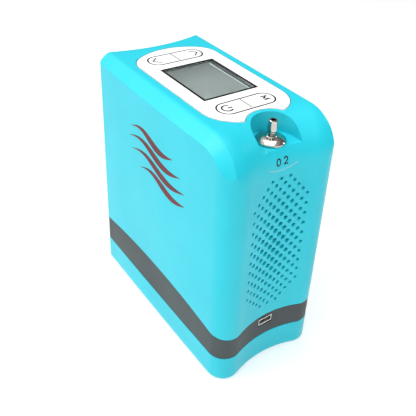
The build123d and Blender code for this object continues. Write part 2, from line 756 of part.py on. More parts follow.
PISTON_Y = (30.0, 40.4)
RING_Y = 37.0
with BuildPart() as pistons:
    with BuildSketch(Plane.XZ.offset(-PISTON_Y[0])):
        with Locations((0, CRANK_Z)):
            Circle(BORE_R - 0.3)
    extrude(amount=PISTON_Y[0] - PISTON_Y[1])
    with BuildSketch(Plane.XZ.offset(-RING_Y)):
        with Locations((0, CRANK_Z)):
            Circle(BORE_R + 1)
            Circle(BORE_R - 2, mode=Mode.SUBTRACT)
    extrude(amount=-2.0, mode=Mode.SUBTRACT)
    mirror(about=Plane.XZ)
save(pistons.part, "pistons")

with BuildPart() as piston_rings:
    with BuildSketch(Plane.XZ.offset(-RING_Y - 0.02)):
        with Locations((0, CRANK_Z)):
            Circle(BORE_R - FIT)
            Circle(BORE_R - 1.98, mode=Mode.SUBTRACT)
    extrude(amount=-1.96)
    mirror(about=Plane.XZ)
save(piston_rings.part, "piston_rings")

ECCENTRIC_R = 6.2
ROLLER_R = 8.0
SLOT_Y = ROLLER_R + 2 * THROW + 0.3
SLOT_X = ROLLER_R + THROW + 1.0
with BuildPart() as piston_yoke:
    with BuildSketch(Plane.XY.offset(CRANK_Z - 4)):
        Rectangle(2 * SLOT_X + 6, 2 * SLOT_Y + 4.4)
        Rectangle(8, 2 * PISTON_Y[0])
        Rectangle(2 * SLOT_X, 2 * SLOT_Y, mode=Mode.SUBTRACT)
    extrude(amount=8)
save(piston_yoke.part, "piston_yoke")

with BuildPart() as crankshaft:
    with BuildSketch(Plane.XY.offset(CRANKCASE_Z + 2.2)):
        Circle(4.0 - FIT)
    extrude(amount=68.5)
    with BuildSketch(Plane.XY.offset(CRANK_Z - 4)):
        with Locations((THROW, 0)):
            Circle(ECCENTRIC_R)
    extrude(amount=8)
    for z in (CRANK_Z - 8, CRANK_Z + 4.5):
        with BuildSketch(Plane.XY.offset(z)):
            Circle(13)
            with Locations((16, 0)):
                Rectangle(26, 40, mode=Mode.SUBTRACT)
            Circle(5.5)
        extrude(amount=3)
save(crankshaft.part, "crankshaft")

with BuildPart() as crank_roller:
    with BuildSketch(Plane.XY.offset(CRANK_Z - 3.8)):
        with Locations((THROW, 0)):
            Circle(ROLLER_R)
            Circle(ECCENTRIC_R + 0.01, mode=Mode.SUBTRACT)
    extrude(amount=7.6)
save(crank_roller.part, "crank_roller")

MOTOR_TOP = 134.0
with BuildPart() as shaft_bearings:
    for z in (CRANKCASE_Z + 2.05, CRANKCASE_TOP + 0.1):
        with BuildSketch(Plane.XY.offset(z)):
            Circle(9.45)
            Circle(4.0, mode=Mode.SUBTRACT)
        extrude(amount=5.0)
save(shaft_bearings.part, "shaft_bearings")

with BuildPart() as motor_housing:
    with BuildSketch(Plane.XY.offset(CRANKCASE_TOP)):
        RectangleRounded(44, 40, 4)
        Circle(24)
    extrude(amount=3)
    with BuildSketch(Plane.XY.offset(CRANKCASE_TOP)):
        Circle(24)
    extrude(amount=MOTOR_TOP - CRANKCASE_TOP)
    with BuildSketch(Plane.XY.offset(CRANKCASE_TOP + 7)):
        Circle(22.05)
    extrude(amount=MOTOR_TOP - CRANKCASE_TOP - 9, mode=Mode.SUBTRACT)
    with BuildSketch(Plane.XY.offset(CRANKCASE_TOP)):
        Circle(9.5)
    extrude(amount=8, mode=Mode.SUBTRACT)
    with BuildSketch(Plane.XY.offset(MOTOR_TOP - 3)):
        Circle(4.5)
        with PolarLocations(14, 6):
            Circle(3.0)
    extrude(amount=4, mode=Mode.SUBTRACT)
save(motor_housing.part, "motor_housing")

with BuildPart() as motor_stator:
    with BuildSketch(Plane.XY.offset(CRANKCASE_TOP + 8)):
        Circle(22.0)
        Circle(13.0, mode=Mode.SUBTRACT)
        with PolarLocations(17.0, 12):
            SlotOverall(6.0, 2.2, mode=Mode.SUBTRACT)
    extrude(amount=22)
save(motor_stator.part, "motor_stator")

with BuildPart() as motor_rotor:
    with BuildSketch(Plane.XY.offset(CRANKCASE_TOP + 8)):
        Circle(12.5)
        Circle(4.0 - FIT + 0.01, mode=Mode.SUBTRACT)
    extrude(amount=22)
save(motor_rotor.part, "motor_rotor")

# ---------------------------------------------------------------- gas path
COLUMN_Z = (58.0, 154.0)
CAP_T = 4.0
with BuildPart() as sieve_columns:
    with BuildSketch(Plane.XY.offset(COLUMN_Z[0])):
        with Locations((-COLUMN_X, COLUMN_Y), (COLUMN_X, COLUMN_Y)):
            Circle(COLUMN_R)
            Circle(COLUMN_R - 1.2, mode=Mode.SUBTRACT)
    extrude(amount=COLUMN_Z[1] - COLUMN_Z[0])
save(sieve_columns.part, "sieve_columns")

with BuildPart() as sieve_beds:
    with BuildSketch(Plane.XY.offset(COLUMN_Z[0] + 0.1)):
        with Locations((-COLUMN_X, COLUMN_Y), (COLUMN_X, COLUMN_Y)):
            Circle(COLUMN_R - 1.25)
    extrude(amount=COLUMN_Z[1] - COLUMN_Z[0] - 0.2)
save(sieve_beds.part, "sieve_beds")

with BuildPart() as column_caps:
    for z in (COLUMN_Z[0] - CAP_T, COLUMN_Z[1]):
        with BuildSketch(Plane.XY.offset(z)):
            with Locations((-COLUMN_X, COLUMN_Y), (COLUMN_X, COLUMN_Y)):
                Circle(COLUMN_R + 0.3)
        extrude(amount=CAP_T)
save(column_caps.part, "column_caps")

VALVE_Z = COLUMN_Z[1] + CAP_T
VALVE_T = 10.0
with BuildPart() as valve_block:
    with BuildSketch(Plane.XY.offset(VALVE_Z)):
        with Locations((0, 59)):
            RectangleRounded(80, 30, 3)
    extrude(amount=VALVE_T)
    with BuildSketch(Plane.XY.offset(VALVE_Z)):
        with Locations((0, CYLINDER_Y[1] + HEAD_T / 2)):
            Circle(1.2)
    extrude(amount=5, mode=Mode.SUBTRACT)
save(valve_block.part, "valve_block")

with BuildPart() as solenoid_valves:
    with BuildSketch(Plane.XY.offset(VALVE_Z + VALVE_T)):
        with Locations((0, 59)):
            with GridLocations(20, 0, 4, 1):
                Circle(7.5)
    extrude(amount=14)
    with BuildSketch(Plane.XY.offset(VALVE_Z + VALVE_T + 14)):
        with Locations((0, 59)):
            with GridLocations(20, 0, 4, 1):
                Circle(3.0)
    extrude(amount=2)
save(solenoid_valves.part, "solenoid_valves")

TANK_Z = 156.0
TANK_Y = (-28.0, 34.0)
with BuildPart() as product_tank:
    with BuildSketch(Plane.XZ.offset(-TANK_Y[0])):
        with Locations((0, TANK_Z)):
            Circle(14)
    extrude(amount=TANK_Y[0] - TANK_Y[1])
    fillet(product_tank.edges(), 3)
    with BuildSketch(Plane.XZ.offset(-TANK_Y[0] - 1)):
        with Locations((0, TANK_Z)):
            Circle(2.4)
    extrude(amount=5)
save(product_tank.part, "product_tank")

with BuildPart() as tank_cradle:
    with BuildSketch(Plane.XZ.offset(10)):
        with Locations((0, (MOTOR_TOP + TANK_Z) / 2)):
            Rectangle(30, TANK_Z - MOTOR_TOP)
        with Locations((0, TANK_Z)):
            Circle(14.1, mode=Mode.SUBTRACT)
    extrude(amount=-20)
save(tank_cradle.part, "tank_cradle")

with BuildPart() as bacterial_filter:
    with BuildSketch(Plane.XZ.offset(-TANK_Y[0] + 4)):
        with Locations((0, TANK_Z)):
            Circle(8.0)
    extrude(amount=8)
    with BuildSketch(Plane.XZ.offset(-TANK_Y[0] + 12)):
        with Locations((0, TANK_Z)):
            Circle(2.4)
    extrude(amount=4)
save(bacterial_filter.part, "bacterial_filter")


def hose(route, bend, radius=3.0):
    """Plain tube along straight runs joined by tangent arcs."""
    with BuildPart(mode=Mode.PRIVATE) as pipe:
        with BuildLine() as path:
            FilletPolyline(*route, radius=bend)
        with BuildSketch(path.line ^ 0):
            Circle(radius)
        sweep()
    return pipe.part


outlet_route = ((0, TANK_Y[0] - 16, TANK_Z), (0, OUTLET_Y, TANK_Z), (0, OUTLET_Y, RECESS_Z - 13.0))
save(hose(outlet_route, 12.0), "outlet_hose")

HEAD_PORT_Y = CYLINDER_Y[1] + HEAD_T / 2
HEAD_PORT_Z = CRANK_Z + BORE_R + 8.0
with BuildPart() as feed_hose:
    with BuildSketch(Plane.XY.offset(HEAD_PORT_Z)):
        with Locations((0, HEAD_PORT_Y)):
            Circle(3.0)
    extrude(amount=VALVE_Z - HEAD_PORT_Z)
save(feed_hose.part, "feed_hose")

MUFFLER = (31.0, -36.0)
with BuildPart() as intake_muffler:
    with BuildSketch(Plane.XY.offset(DECK_Z + DECK_T)):
        with Locations(MUFFLER):
            Circle(10.0)
    extrude(amount=46)
    fillet(intake_muffler.edges().sort_by(Axis.Z)[-1:], 3)
    with BuildSketch(Plane.XY.offset(DECK_Z + DECK_T + 46)):
        with Locations(MUFFLER):
            Circle(2.4)
    extrude(amount=4)
save(intake_muffler.part, "intake_muffler")

intake_route = (
    (MUFFLER[0], MUFFLER[1], DECK_Z + DECK_T + 50), (MUFFLER[0], MUFFLER[1], HEAD_PORT_Z + 16),
    (0, -HEAD_PORT_Y, HEAD_PORT_Z + 16), (0, -HEAD_PORT_Y, HEAD_PORT_Z),
)
save(hose(intake_route, 9.0), "intake_hose")

# ---------------------------------------------------------------- cooling fan
with BuildPart() as fan_frame:
    with BuildSketch(Plane.XZ.offset(-FAN_Y)):
        with Locations((0, GRILLE_Z)):
            RectangleRounded(2 * FAN_HALF, 2 * FAN_HALF, 3)
            Circle(28.5, mode=Mode.SUBTRACT)
            with GridLocations(50, 50, 2, 2):
                Circle(2.1, mode=Mode.SUBTRACT)
    extrude(amount=-FAN_T)
    with BuildSketch(Plane.XZ.offset(-FAN_Y - FAN_T)):
        with Locations((0, GRILLE_Z)):
            Circle(12)
            with PolarLocations(20, 4, 45):
                Rectangle(20, 3)
    extrude(amount=2)
    with BuildSketch(Plane.XZ.offset(-FAN_Y - FAN_T)):
        with Locations((0, GRILLE_Z)):
            Circle(1.5)
    extrude(amount=10)
save(fan_frame.part, "fan_frame")

with BuildPart() as fan_rotor:
    with BuildSketch(Plane.XZ.offset(-FAN_Y - 1)):
        with Locations((0, GRILLE_Z)):
            Circle(12.5)
    extrude(amount=-11)
    for blade in range(7):
        turn = 360 / 7 * blade
        along = (cos(radians(turn)), 0, sin(radians(turn)))
        root = Plane((0, FAN_Y + 6.5, GRILLE_Z), x_dir=along, z_dir=(0, -1, 0))
        with BuildPart(mode=Mode.PRIVATE) as vane:
            with BuildSketch(root):
                with Locations((19.5, 0)):
                    Rectangle(16.5, 1.4)
            extrude(amount=4.5, both=True)
        add(vane.part)
    with BuildSketch(Plane.XZ.offset(-FAN_Y - 12)):
        with Locations((0, GRILLE_Z)):
            Circle(1.5 + FIT)
    extrude(amount=8, mode=Mode.SUBTRACT)
save(fan_rotor.part, "fan_rotor")

# ---------------------------------------------------------------- main electronics
with BuildPart() as control_board:
    with Locations((-42.4, 5, 140)):
        Box(1.6, 84, 70)
    with Locations((-39.6, -16, 150)):
        Box(4.0, 18, 18)
    with Locations((-38.6, 14, 160)):
        Box(6.0, 10, 12)
    for capacitor_y in (-24, -10, 4):
        with Locations((-37.6, capacitor_y, 118)):
            Cylinder(4, 8, rotation=(0, 90, 0))
save(control_board.part, "control_board")
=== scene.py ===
import json
from math import cos, pi, radians, sin

import bmesh
import bpy
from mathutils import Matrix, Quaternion, Vector
from mathutils.bvhtree import BVHTree


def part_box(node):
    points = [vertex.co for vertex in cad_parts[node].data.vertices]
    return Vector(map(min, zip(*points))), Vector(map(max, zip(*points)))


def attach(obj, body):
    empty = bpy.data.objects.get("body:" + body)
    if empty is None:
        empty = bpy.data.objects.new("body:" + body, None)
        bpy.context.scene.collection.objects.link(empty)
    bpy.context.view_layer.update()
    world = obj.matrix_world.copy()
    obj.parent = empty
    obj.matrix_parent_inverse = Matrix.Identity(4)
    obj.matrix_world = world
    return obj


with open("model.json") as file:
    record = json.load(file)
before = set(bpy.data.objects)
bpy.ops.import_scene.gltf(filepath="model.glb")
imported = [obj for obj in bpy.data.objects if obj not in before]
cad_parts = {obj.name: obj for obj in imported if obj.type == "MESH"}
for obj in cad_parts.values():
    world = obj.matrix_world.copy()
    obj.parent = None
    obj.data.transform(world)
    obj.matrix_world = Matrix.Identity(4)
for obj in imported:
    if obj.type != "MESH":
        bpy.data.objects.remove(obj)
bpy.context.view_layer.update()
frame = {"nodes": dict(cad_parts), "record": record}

scene = bpy.context.scene
nodes = frame["nodes"]
MM = 0.001

# ---------------------------------------------------------------- camera
CAMERA_AT = Vector((-0.2289, -0.2899, 0.3763))
CAMERA_TO = Vector((0.0068, 0.0115, 0.0864))
CAMERA_ROLL = radians(4.337)    # the picture leans a little
CAMERA_LENS = 49.31             # millimetres, on a sensor 36 mm wide
CAMERA_NEAR, CAMERA_FAR = 0.01, 20.0


def add_camera():
    data = bpy.data.cameras.new("camera")
    data.lens = CAMERA_LENS
    data.clip_start = CAMERA_NEAR
    data.clip_end = CAMERA_FAR
    camera = bpy.data.objects.new("camera", data)
    scene.collection.objects.link(camera)
    camera.location = CAMERA_AT
    look = (CAMERA_TO - CAMERA_AT).to_track_quat("-Z", "Y")
    camera.rotation_mode = "QUATERNION"
    camera.rotation_quaternion = look @ Quaternion((0, 0, 1), CAMERA_ROLL)
    scene.camera = camera


# ---------------------------------------------------------------- floor and light
SKY_FROM = (-0.60, 0.20, 0.77)    # direction of the brightest part of the surroundings
SKY_FULL = 0.80                   # cosine of the angle from there within which they are brightest
SKY_DARK = 0.20
SKY_BRIGHT = 0.95
FLOOR_SIZE = 30
FLOOR_TONE = 0.74
FLOOR_GLOW = 0.25                 # keeps the floor white right up to the object
GAMMA = 0.88
LIGHTS = (                        # name, width and height in metres, watts, place, aim
    ("key", (1.2, 1.2), 11.5, (-1.15, 0.60, 1.10), (0, 0, 0.1)),
    ("top", (1.0, 1.0), 5.0, (0.1, 0.1, 1.5), (0, 0, 0.1)),
    ("front", (0.20, 0.20), 7.5, (-0.12, -0.78, 1.20), (0, -0.07, 0.15)),
    ("right", (0.12, 0.30), 0.5, (1.05, -0.22, 0.74), (0, -0.05, 0.2)),
)


def add_sky():
    """White surroundings that fall off away from the upper left, so that gloss has something to show."""
    world = bpy.data.worlds.new("world")
    world.use_nodes = True
    tree = world.node_tree
    place = tree.nodes.new("ShaderNodeTexCoord")
    towards = tree.nodes.new("ShaderNodeVectorMath")
    towards.operation = "DOT_PRODUCT"
    towards.inputs[1].default_value = SKY_FROM
    level = tree.nodes.new("ShaderNodeMapRange")
    level.interpolation_type = "SMOOTHSTEP"
    level.inputs["From Max"].default_value = SKY_FULL
    level.inputs["To Min"].default_value = SKY_DARK
    level.inputs["To Max"].default_value = SKY_BRIGHT
    tree.links.new(place.outputs["Generated"], towards.inputs[0])
    tree.links.new(towards.outputs["Value"], level.inputs["Value"])
    tree.links.new(level.outputs["Result"], tree.nodes["Background"].inputs["Strength"])
    tree.nodes["Background"].inputs["Color"].default_value = (1, 1, 1, 1)
    scene.world = world


def add_floor():
    bpy.ops.mesh.primitive_plane_add(size=FLOOR_SIZE, location=(0, 0, 0))
    floor = bpy.context.object
    floor.name = "floor"
    paper = bpy.data.materials.new("floor_paper")
    paper.use_nodes = True
    sockets = paper.node_tree.nodes["Principled BSDF"].inputs
    sockets["Base Color"].default_value = (FLOOR_TONE, FLOOR_TONE, FLOOR_TONE, 1)
    sockets["Roughness"].default_value = 0.9
    sockets["Specular IOR Level"].default_value = 0.1
    sockets["Emission Color"].default_value = (1, 1, 1, 1)
    sockets["Emission Strength"].default_value = FLOOR_GLOW
    floor.data.materials.append(paper)


def add_lights():
    for name, size, power, at, to in LIGHTS:
        data = bpy.data.lights.new(name, "AREA")
        data.shape = "RECTANGLE"
        data.size, data.size_y = size
        data.energy = power
        light = bpy.data.objects.new(name, data)
        scene.collection.objects.link(light)
        light.location = at
        light.rotation_euler = (Vector(to) - Vector(at)).to_track_quat("-Z", "Y").to_euler()


# ---------------------------------------------------------------- procedural finishes
NOISE_SPAN = (0.3, 0.7)    # where nearly all of a noise texture's values lie
DRIFT = 30 * MM            # how far apart a plain finish is lighter or darker


def blank(name):
    """New material, its principled shader, its node tree and object coordinates."""
    material = bpy.data.materials.new(name)
    material.use_nodes = True
    tree = material.node_tree
    coordinates = tree.nodes.new("ShaderNodeTexCoord").outputs["Object"]
    return material, tree.nodes["Principled BSDF"], tree, coordinates


def noise(tree, coordinates, size, detail=3.0, squeeze=(1, 1, 1)):
    """Noise whose blobs measure about size metres, squeezed by a factor along each axis."""
    mapping = tree.nodes.new("ShaderNodeMapping")
    mapping.inputs["Scale"].default_value = squeeze
    texture = tree.nodes.new("ShaderNodeTexNoise")
    texture.inputs["Scale"].default_value = 1 / size
    texture.inputs["Detail"].default_value = detail
    tree.links.new(coordinates, mapping.inputs["Vector"])
    tree.links.new(mapping.outputs["Vector"], texture.inputs["Vector"])
    return texture.outputs["Fac"]


def ramp(tree, value, low, high, start=0.35, end=0.65):
    """Colour that goes from low to high as value goes from start to end."""
    node = tree.nodes.new("ShaderNodeValToRGB")
    for element, place, colour in zip(node.color_ramp.elements, (start, end), (low, high)):
        element.position = place
        element.color = (*colour, 1)
    tree.links.new(value, node.inputs["Fac"])
    return node.outputs["Color"]


def spread(tree, value, low, high):
    """A noise value spread out to run from low to high."""
    node = tree.nodes.new("ShaderNodeMapRange")
    node.inputs["From Min"].default_value, node.inputs["From Max"].default_value = NOISE_SPAN
    node.inputs["To Min"].default_value = low
    node.inputs["To Max"].default_value = high
    tree.links.new(value, node.inputs["Value"])
    return node.outputs["Result"]


def bump(tree, shader, height, depth, below=None):
    """Raises the surface by up to depth metres with height; below is an earlier bump."""
    node = tree.nodes.new("ShaderNodeBump")
    node.inputs["Distance"].default_value = depth
    tree.links.new(height, node.inputs["Height"])
    if below:
        tree.links.new(below, node.inputs["Normal"])
    tree.links.new(node.outputs["Normal"], shader.inputs["Normal"])
    return node.outputs["Normal"]


def finish(name, low, high, rough, grain, depth, **sockets):
    """Plain moulded or machined finish: drifting colour, and roughness over a fine grain."""
    material, shader, tree, at = blank(name)
    drift = noise(tree, at, DRIFT)
    fine = noise(tree, at, grain, 2.0)
    tree.links.new(ramp(tree, drift, low, high), shader.inputs["Base Color"])
    tree.links.new(spread(tree, fine, *rough), shader.inputs["Roughness"])
    bump(tree, shader, fine, depth)
    for socket, value in sockets.items():
        shader.inputs[socket.replace("_", " ")].default_value = value
    return material


def moulded(name, low, high, rough, spark, depth, dust=0.0):
    """Moulded case plastic: drifting colour, long flow marks, and an eroded grain with paler specks."""
    material, shader, tree, at = blank(name)
    drift = noise(tree, at, 60 * MM, 2.0)
    specks = noise(tree, at, spark)
    flow = noise(tree, at, 45 * MM, 1.0, (1, 1, 0.4))
    tint = tree.nodes.new("ShaderNodeMix")
    tint.data_type = "RGBA"
    tint.inputs["B"].default_value = (*[min(1, channel * 1.12 + dust) for channel in high], 1)
    tree.links.new(spread(tree, specks, 0.0, 0.16), tint.inputs["Factor"])
    tree.links.new(ramp(tree, drift, low, high), tint.inputs["A"])
    tree.links.new(tint.outputs["Result"], shader.inputs["Base Color"])
    tree.links.new(spread(tree, flow, *rough), shader.inputs["Roughness"])
    under = bump(tree, shader, flow, 0.02 * MM)
    bump(tree, shader, specks, depth, under)
    return material


def brushed(name, low, high, rough, squeeze):
    """Machined metal with fine tool marks across the axis of the greatest squeeze."""
    material, shader, tree, at = blank(name)
    marks = noise(tree, at, 0.25 * MM, 4.0, squeeze)
    tree.links.new(ramp(tree, marks, low, high), shader.inputs["Base Color"])
    tree.links.new(spread(tree, marks, *rough), shader.inputs["Roughness"])
    shader.inputs["Metallic"].default_value = 1.0
    bump(tree, shader, marks, 0.004 * MM)
    return material


def circuit_board():
    """Green lacquer over etched copper tracks that run across the board at a slant."""
    material, shader, tree, at = blank("circuit_board")
    tracks = tree.nodes.new("ShaderNodeTexBrick")
    tracks.inputs["Scale"].default_value = 1 / (6 * MM)
    tracks.inputs["Mortar Size"].default_value = 0.035
    tracks.inputs["Color1"].default_value = (0.006, 0.085, 0.03, 1)
    tracks.inputs["Color2"].default_value = (0.008, 0.105, 0.04, 1)
    tracks.inputs["Mortar"].default_value = (0.03, 0.21, 0.06, 1)
    slant = tree.nodes.new("ShaderNodeMapping")
    slant.inputs["Rotation"].default_value = (0.6, 0.4, 0.785)
    tree.links.new(at, slant.inputs["Vector"])
    tree.links.new(slant.outputs["Vector"], tracks.inputs["Vector"])
    tree.links.new(tracks.outputs["Color"], shader.inputs["Base Color"])
    tree.links.new(spread(tree, noise(tree, at, 4 * MM), 0.28, 0.42), shader.inputs["Roughness"])
    bump(tree, shader, tracks.outputs["Fac"], 0.03 * MM)
    return material


def cellular(name, size, feature, near, far, span, rough, depth):
    """Foam or packed beads: colour and height follow the distance inside cells about size metres wide."""
    material, shader, tree, at = blank(name)
    cells = tree.nodes.new("ShaderNodeTexVoronoi")
    cells.feature = feature
    cells.inputs["Scale"].default_value = 1 / size
    tree.links.new(at, cells.inputs["Vector"])
    distance = cells.outputs["Distance"]
    tree.links.new(ramp(tree, distance, near, far, *span), shader.inputs["Base Color"])
    shader.inputs["Roughness"].default_value = rough
    height = tree.nodes.new("ShaderNodeMath")
    height.operation = "SUBTRACT"
    height.inputs[0].default_value = 1.0
    tree.links.new(distance, height.inputs[1])
    bump(tree, shader, height.outputs["Value"], depth)
    return material


def windings():
    """Enamelled copper wound over a stack of thin steel sheets."""
    material, shader, tree, at = blank("motor_windings")
    layers = tree.nodes.new("ShaderNodeTexWave")
    layers.wave_type = "BANDS"
    layers.bands_direction = "Z"
    layers.inputs["Scale"].default_value = 1 / (1.6 * MM)
    layers.inputs["Distortion"].default_value = 0.3
    tree.links.new(at, layers.inputs["Vector"])
    colour = ramp(tree, layers.outputs["Fac"], (0.22, 0.07, 0.03), (0.62, 0.25, 0.10), 0.2, 0.8)
    tree.links.new(colour, shader.inputs["Base Color"])
    tree.links.new(spread(tree, noise(tree, at, 1 * MM), 0.25, 0.45), shader.inputs["Roughness"])
    shader.inputs["Metallic"].default_value = 0.8
    bump(tree, shader, layers.outputs["Fac"], 0.08 * MM)
    return material


def plated():
    """Polished plating with faint orange peel and a few hairline scuffs."""
    material, shader, tree, at = blank("chrome_plating")
    peel = noise(tree, at, 1.6 * MM, 1.0)
    scuffs = noise(tree, at, 0.5 * MM, 6.0, (1, 1, 9))
    tree.links.new(ramp(tree, peel, (0.56, 0.53, 0.50), (0.66, 0.61, 0.56)), shader.inputs["Base Color"])
    tree.links.new(spread(tree, scuffs, 0.03, 0.09), shader.inputs["Roughness"])
    shader.inputs["Metallic"].default_value = 1.0
    bump(tree, shader, peel, 0.003 * MM)
    return material


def clear_window():
    """Thin clear window over the display, with faint smudges."""
    material, shader, tree, at = blank("clear_window")
    shader.inputs["Base Color"].default_value = (0.95, 0.98, 0.98, 1)
    shader.inputs["Transmission Weight"].default_value = 1.0
    shader.inputs["IOR"].default_value = 1.45
    tree.links.new(spread(tree, noise(tree, at, 9 * MM), 0.02, 0.07), shader.inputs["Roughness"])
    return material


def liquid_crystal():
    """Unlit grey display: a faint dot grid, and painted shading that makes it lighter towards its front
    end (-Y).
    """
    material, shader, tree, at = blank("liquid_crystal")
    # painted shading: darker at y = 38 mm, lighter from y = 14 mm towards the front
    split = tree.nodes.new("ShaderNodeSeparateXYZ")
    shade_slope = tree.nodes.new("ShaderNodeMapRange")
    shade_slope.inputs["From Min"].default_value = 38 * MM
    shade_slope.inputs["From Max"].default_value = 14 * MM
    tree.links.new(at, split.inputs["Vector"])
    tree.links.new(split.outputs["Y"], shade_slope.inputs["Value"])
    painted_shade = ramp(tree, shade_slope.outputs["Result"], (0.33, 0.375, 0.37), (0.52, 0.575, 0.555), 0.0, 1.0)
    tree.links.new(painted_shade, shader.inputs["Base Color"])
    grid = tree.nodes.new("ShaderNodeTexBrick")
    grid.offset = 0.0
    grid.inputs["Scale"].default_value = 1 / (0.5 * MM)
    grid.inputs["Mortar Size"].default_value = 0.05
    tree.links.new(at, grid.inputs["Vector"])
    shader.inputs["Roughness"].default_value = 0.35
    bump(tree, shader, grid.outputs["Fac"], 0.004 * MM)
    return material


# Colours run from low to high, and roughness in the pair after them; then come grain size and bump depth
FINISHES = {
    "turquoise_shell": moulded("turquoise_shell", (0.016, 0.515, 0.615), (0.021, 0.545, 0.650),
                               (0.30, 0.40), 0.55 * MM, 0.010 * MM, dust=0.01),
    "grey_band": moulded("grey_band", (0.055, 0.068, 0.071), (0.066, 0.079, 0.083),
                         (0.46, 0.58), 0.45 * MM, 0.016 * MM),
    "white_panel": finish("white_panel", (0.87, 0.88, 0.88), (0.91, 0.91, 0.90),
                          (0.16, 0.26), 1.4 * MM, 0.004 * MM),
    "white_key": finish("white_key", (0.88, 0.89, 0.89), (0.92, 0.92, 0.91),
                        (0.20, 0.30), 1.1 * MM, 0.004 * MM),
    "black_bezel": finish("black_bezel", (0.006, 0.007, 0.007), (0.011, 0.012, 0.012),
                          (0.14, 0.24), 1.0 * MM, 0.003 * MM),
    "lens": clear_window(),
    "lcd": liquid_crystal(),
    "chrome": plated(),
    "steel": brushed("turned_steel", (0.50, 0.50, 0.51), (0.66, 0.66, 0.67), (0.22, 0.38), (1, 1, 12)),
    "aluminium": brushed("cast_aluminium", (0.62, 0.63, 0.65), (0.80, 0.81, 0.82),
                         (0.30, 0.50), (2, 2, 5)),
    "brass": brushed("turned_brass", (0.60, 0.42, 0.14), (0.78, 0.58, 0.24), (0.20, 0.34), (1, 1, 10)),
    "rubber": finish("black_rubber", (0.012, 0.012, 0.013), (0.024, 0.024, 0.025),
                     (0.62, 0.82), 0.4 * MM, 0.02 * MM),
    "silicone": finish("silicone_hose", (0.62, 0.65, 0.62), (0.74, 0.76, 0.72),
                       (0.30, 0.44), 3.0 * MM, 0.02 * MM, Subsurface_Weight=0.3, Subsurface_Scale=2 * MM),
    "foam": cellular("filter_foam", 1.1 * MM, "DISTANCE_TO_EDGE", (0.05, 0.05, 0.055),
                     (0.006, 0.006, 0.007), (0.02, 0.28), 0.95, 0.5 * MM),
    "black_plastic": finish("black_plastic", (0.013, 0.013, 0.014), (0.022, 0.022, 0.023),
                            (0.38, 0.55), 0.5 * MM, 0.012 * MM),
    "white_plastic": finish("white_plastic", (0.70, 0.71, 0.70), (0.78, 0.78, 0.76),
                            (0.34, 0.46), 0.7 * MM, 0.008 * MM),
    "board": circuit_board(),
    "cell": finish("shrink_wrap", (0.008, 0.10, 0.24), (0.012, 0.13, 0.30),
                   (0.22, 0.34), 5.0 * MM, 0.03 * MM),
    "bed": cellular("zeolite_beads", 0.9 * MM, "F1", (0.66, 0.56, 0.42), (0.30, 0.24, 0.17),
                    (0.1, 0.7), 0.85, 0.4 * MM),
    "copper": windings(),
}
PRINT = finish("black_print", (0.004, 0.004, 0.005), (0.008, 0.008, 0.009),
               (0.50, 0.62), 0.3 * MM, 0.002 * MM)
PALE_PRINT = finish("pale_print", (0.42, 0.50, 0.50), (0.50, 0.57, 0.57),
                    (0.40, 0.52), 0.3 * MM, 0.002 * MM)
RED_PRINT = finish("red_print", (0.120, 0.010, 0.018), (0.160, 0.015, 0.025),
                   (0.42, 0.52), 0.4 * MM, 0.002 * MM)
SOFT_PRINT = finish("grey_print", (0.10, 0.12, 0.12), (0.14, 0.16, 0.16),
                    (0.42, 0.55), 0.3 * MM, 0.002 * MM)
# painted highlight: a pale line that glows, standing in for light caught by the edge of the display glass
PAINTED_GLASS_HIGHLIGHT = finish("painted_glass_highlight", (0.84, 0.90, 0.90), (0.92, 0.96, 0.96), (0.12, 0.22), 0.4 * MM,
                    0.002 * MM, Emission_Color=(0.8, 0.9, 0.9, 1), Emission_Strength=0.35)
STRIP = finish("display_strip", (0.10, 0.135, 0.14), (0.13, 0.165, 0.17),
               (0.30, 0.42), 0.5 * MM, 0.002 * MM)
NICKEL = finish("nickel_shell", (0.78, 0.77, 0.74), (0.86, 0.85, 0.82),
                (0.28, 0.40), 0.6 * MM, 0.003 * MM, Metallic=0.35)
GOLD = brushed("gold_contact", (0.72, 0.50, 0.16), (0.86, 0.64, 0.26), (0.18, 0.30), (1, 9, 1))


def dress_frame():
    """Each CAD node takes the finish of its slot in the record."""
    for part in frame["record"]["subparts"]:
        mesh = nodes[part["node"]].data
        mesh.materials.clear()
        mesh.materials.append(FINISHES[part["material_slot"]])


# ---------------------------------------------------------------- ribbons of ink, glass and metal
PRINT_T = 0.04 * MM       # how far a ribbon stands out of what it lies on, and sinks into it
LEAST_MITRE = 0.45        # keeps the mitre of a sharp corner short


def ribbon(path, widths, closed=False):
    """Left and right sides of a flat ribbon along a list of (u, v) points, mitred at its corners."""
    points = [Vector(point) for point in path]
    last = len(points) - 1
    left, right = [], []
    for index, (point, width) in enumerate(zip(points, widths)):
        before = points[index - 1] if closed or index else point
        after = points[(index + 1) % len(points)] if closed or index < last else point
        along = (after - point if after != point else point - before).normalized()
        into = (point - before).normalized() if before != point else along
        both = along + into
        across = Vector((-both.y, both.x)).normalized()
        reach = width / 2 / max(LEAST_MITRE, across.dot(Vector((-along.y, along.x))))
        left.append(point + across * reach)
        right.append(point - across * reach)
    return left, right, closed


def even(path, width, closed=False):
    """Ribbon of one width."""
    return ribbon(path, [width] * len(path), closed)


def solid_of(name, ribbons, place):
    """Closed thin solid for each ribbon; place(u, v, lift) gives a point in space."""
    shape = bmesh.new()
    for left, right, closed in ribbons:
        rows = []
        for a, b in zip(left, right):
            corners = ((a, PRINT_T), (b, PRINT_T), (b, -PRINT_T), (a, -PRINT_T))
            rows.append([shape.verts.new(place(*point, lift)) for point, lift in corners])
        for first, second in zip(rows, rows[1:] + rows[:1] if closed else rows[1:]):
            for side in range(4):
                nearby = (side + 1) % 4
                shape.faces.new((first[side], first[nearby], second[nearby], second[side]))
        if not closed:
            shape.faces.new(rows[0][::-1])
            shape.faces.new(rows[-1])
    bmesh.ops.recalc_face_normals(shape, faces=shape.faces)
    mesh = bpy.data.meshes.new(name)
    shape.to_mesh(mesh)
    shape.free()
    return mesh


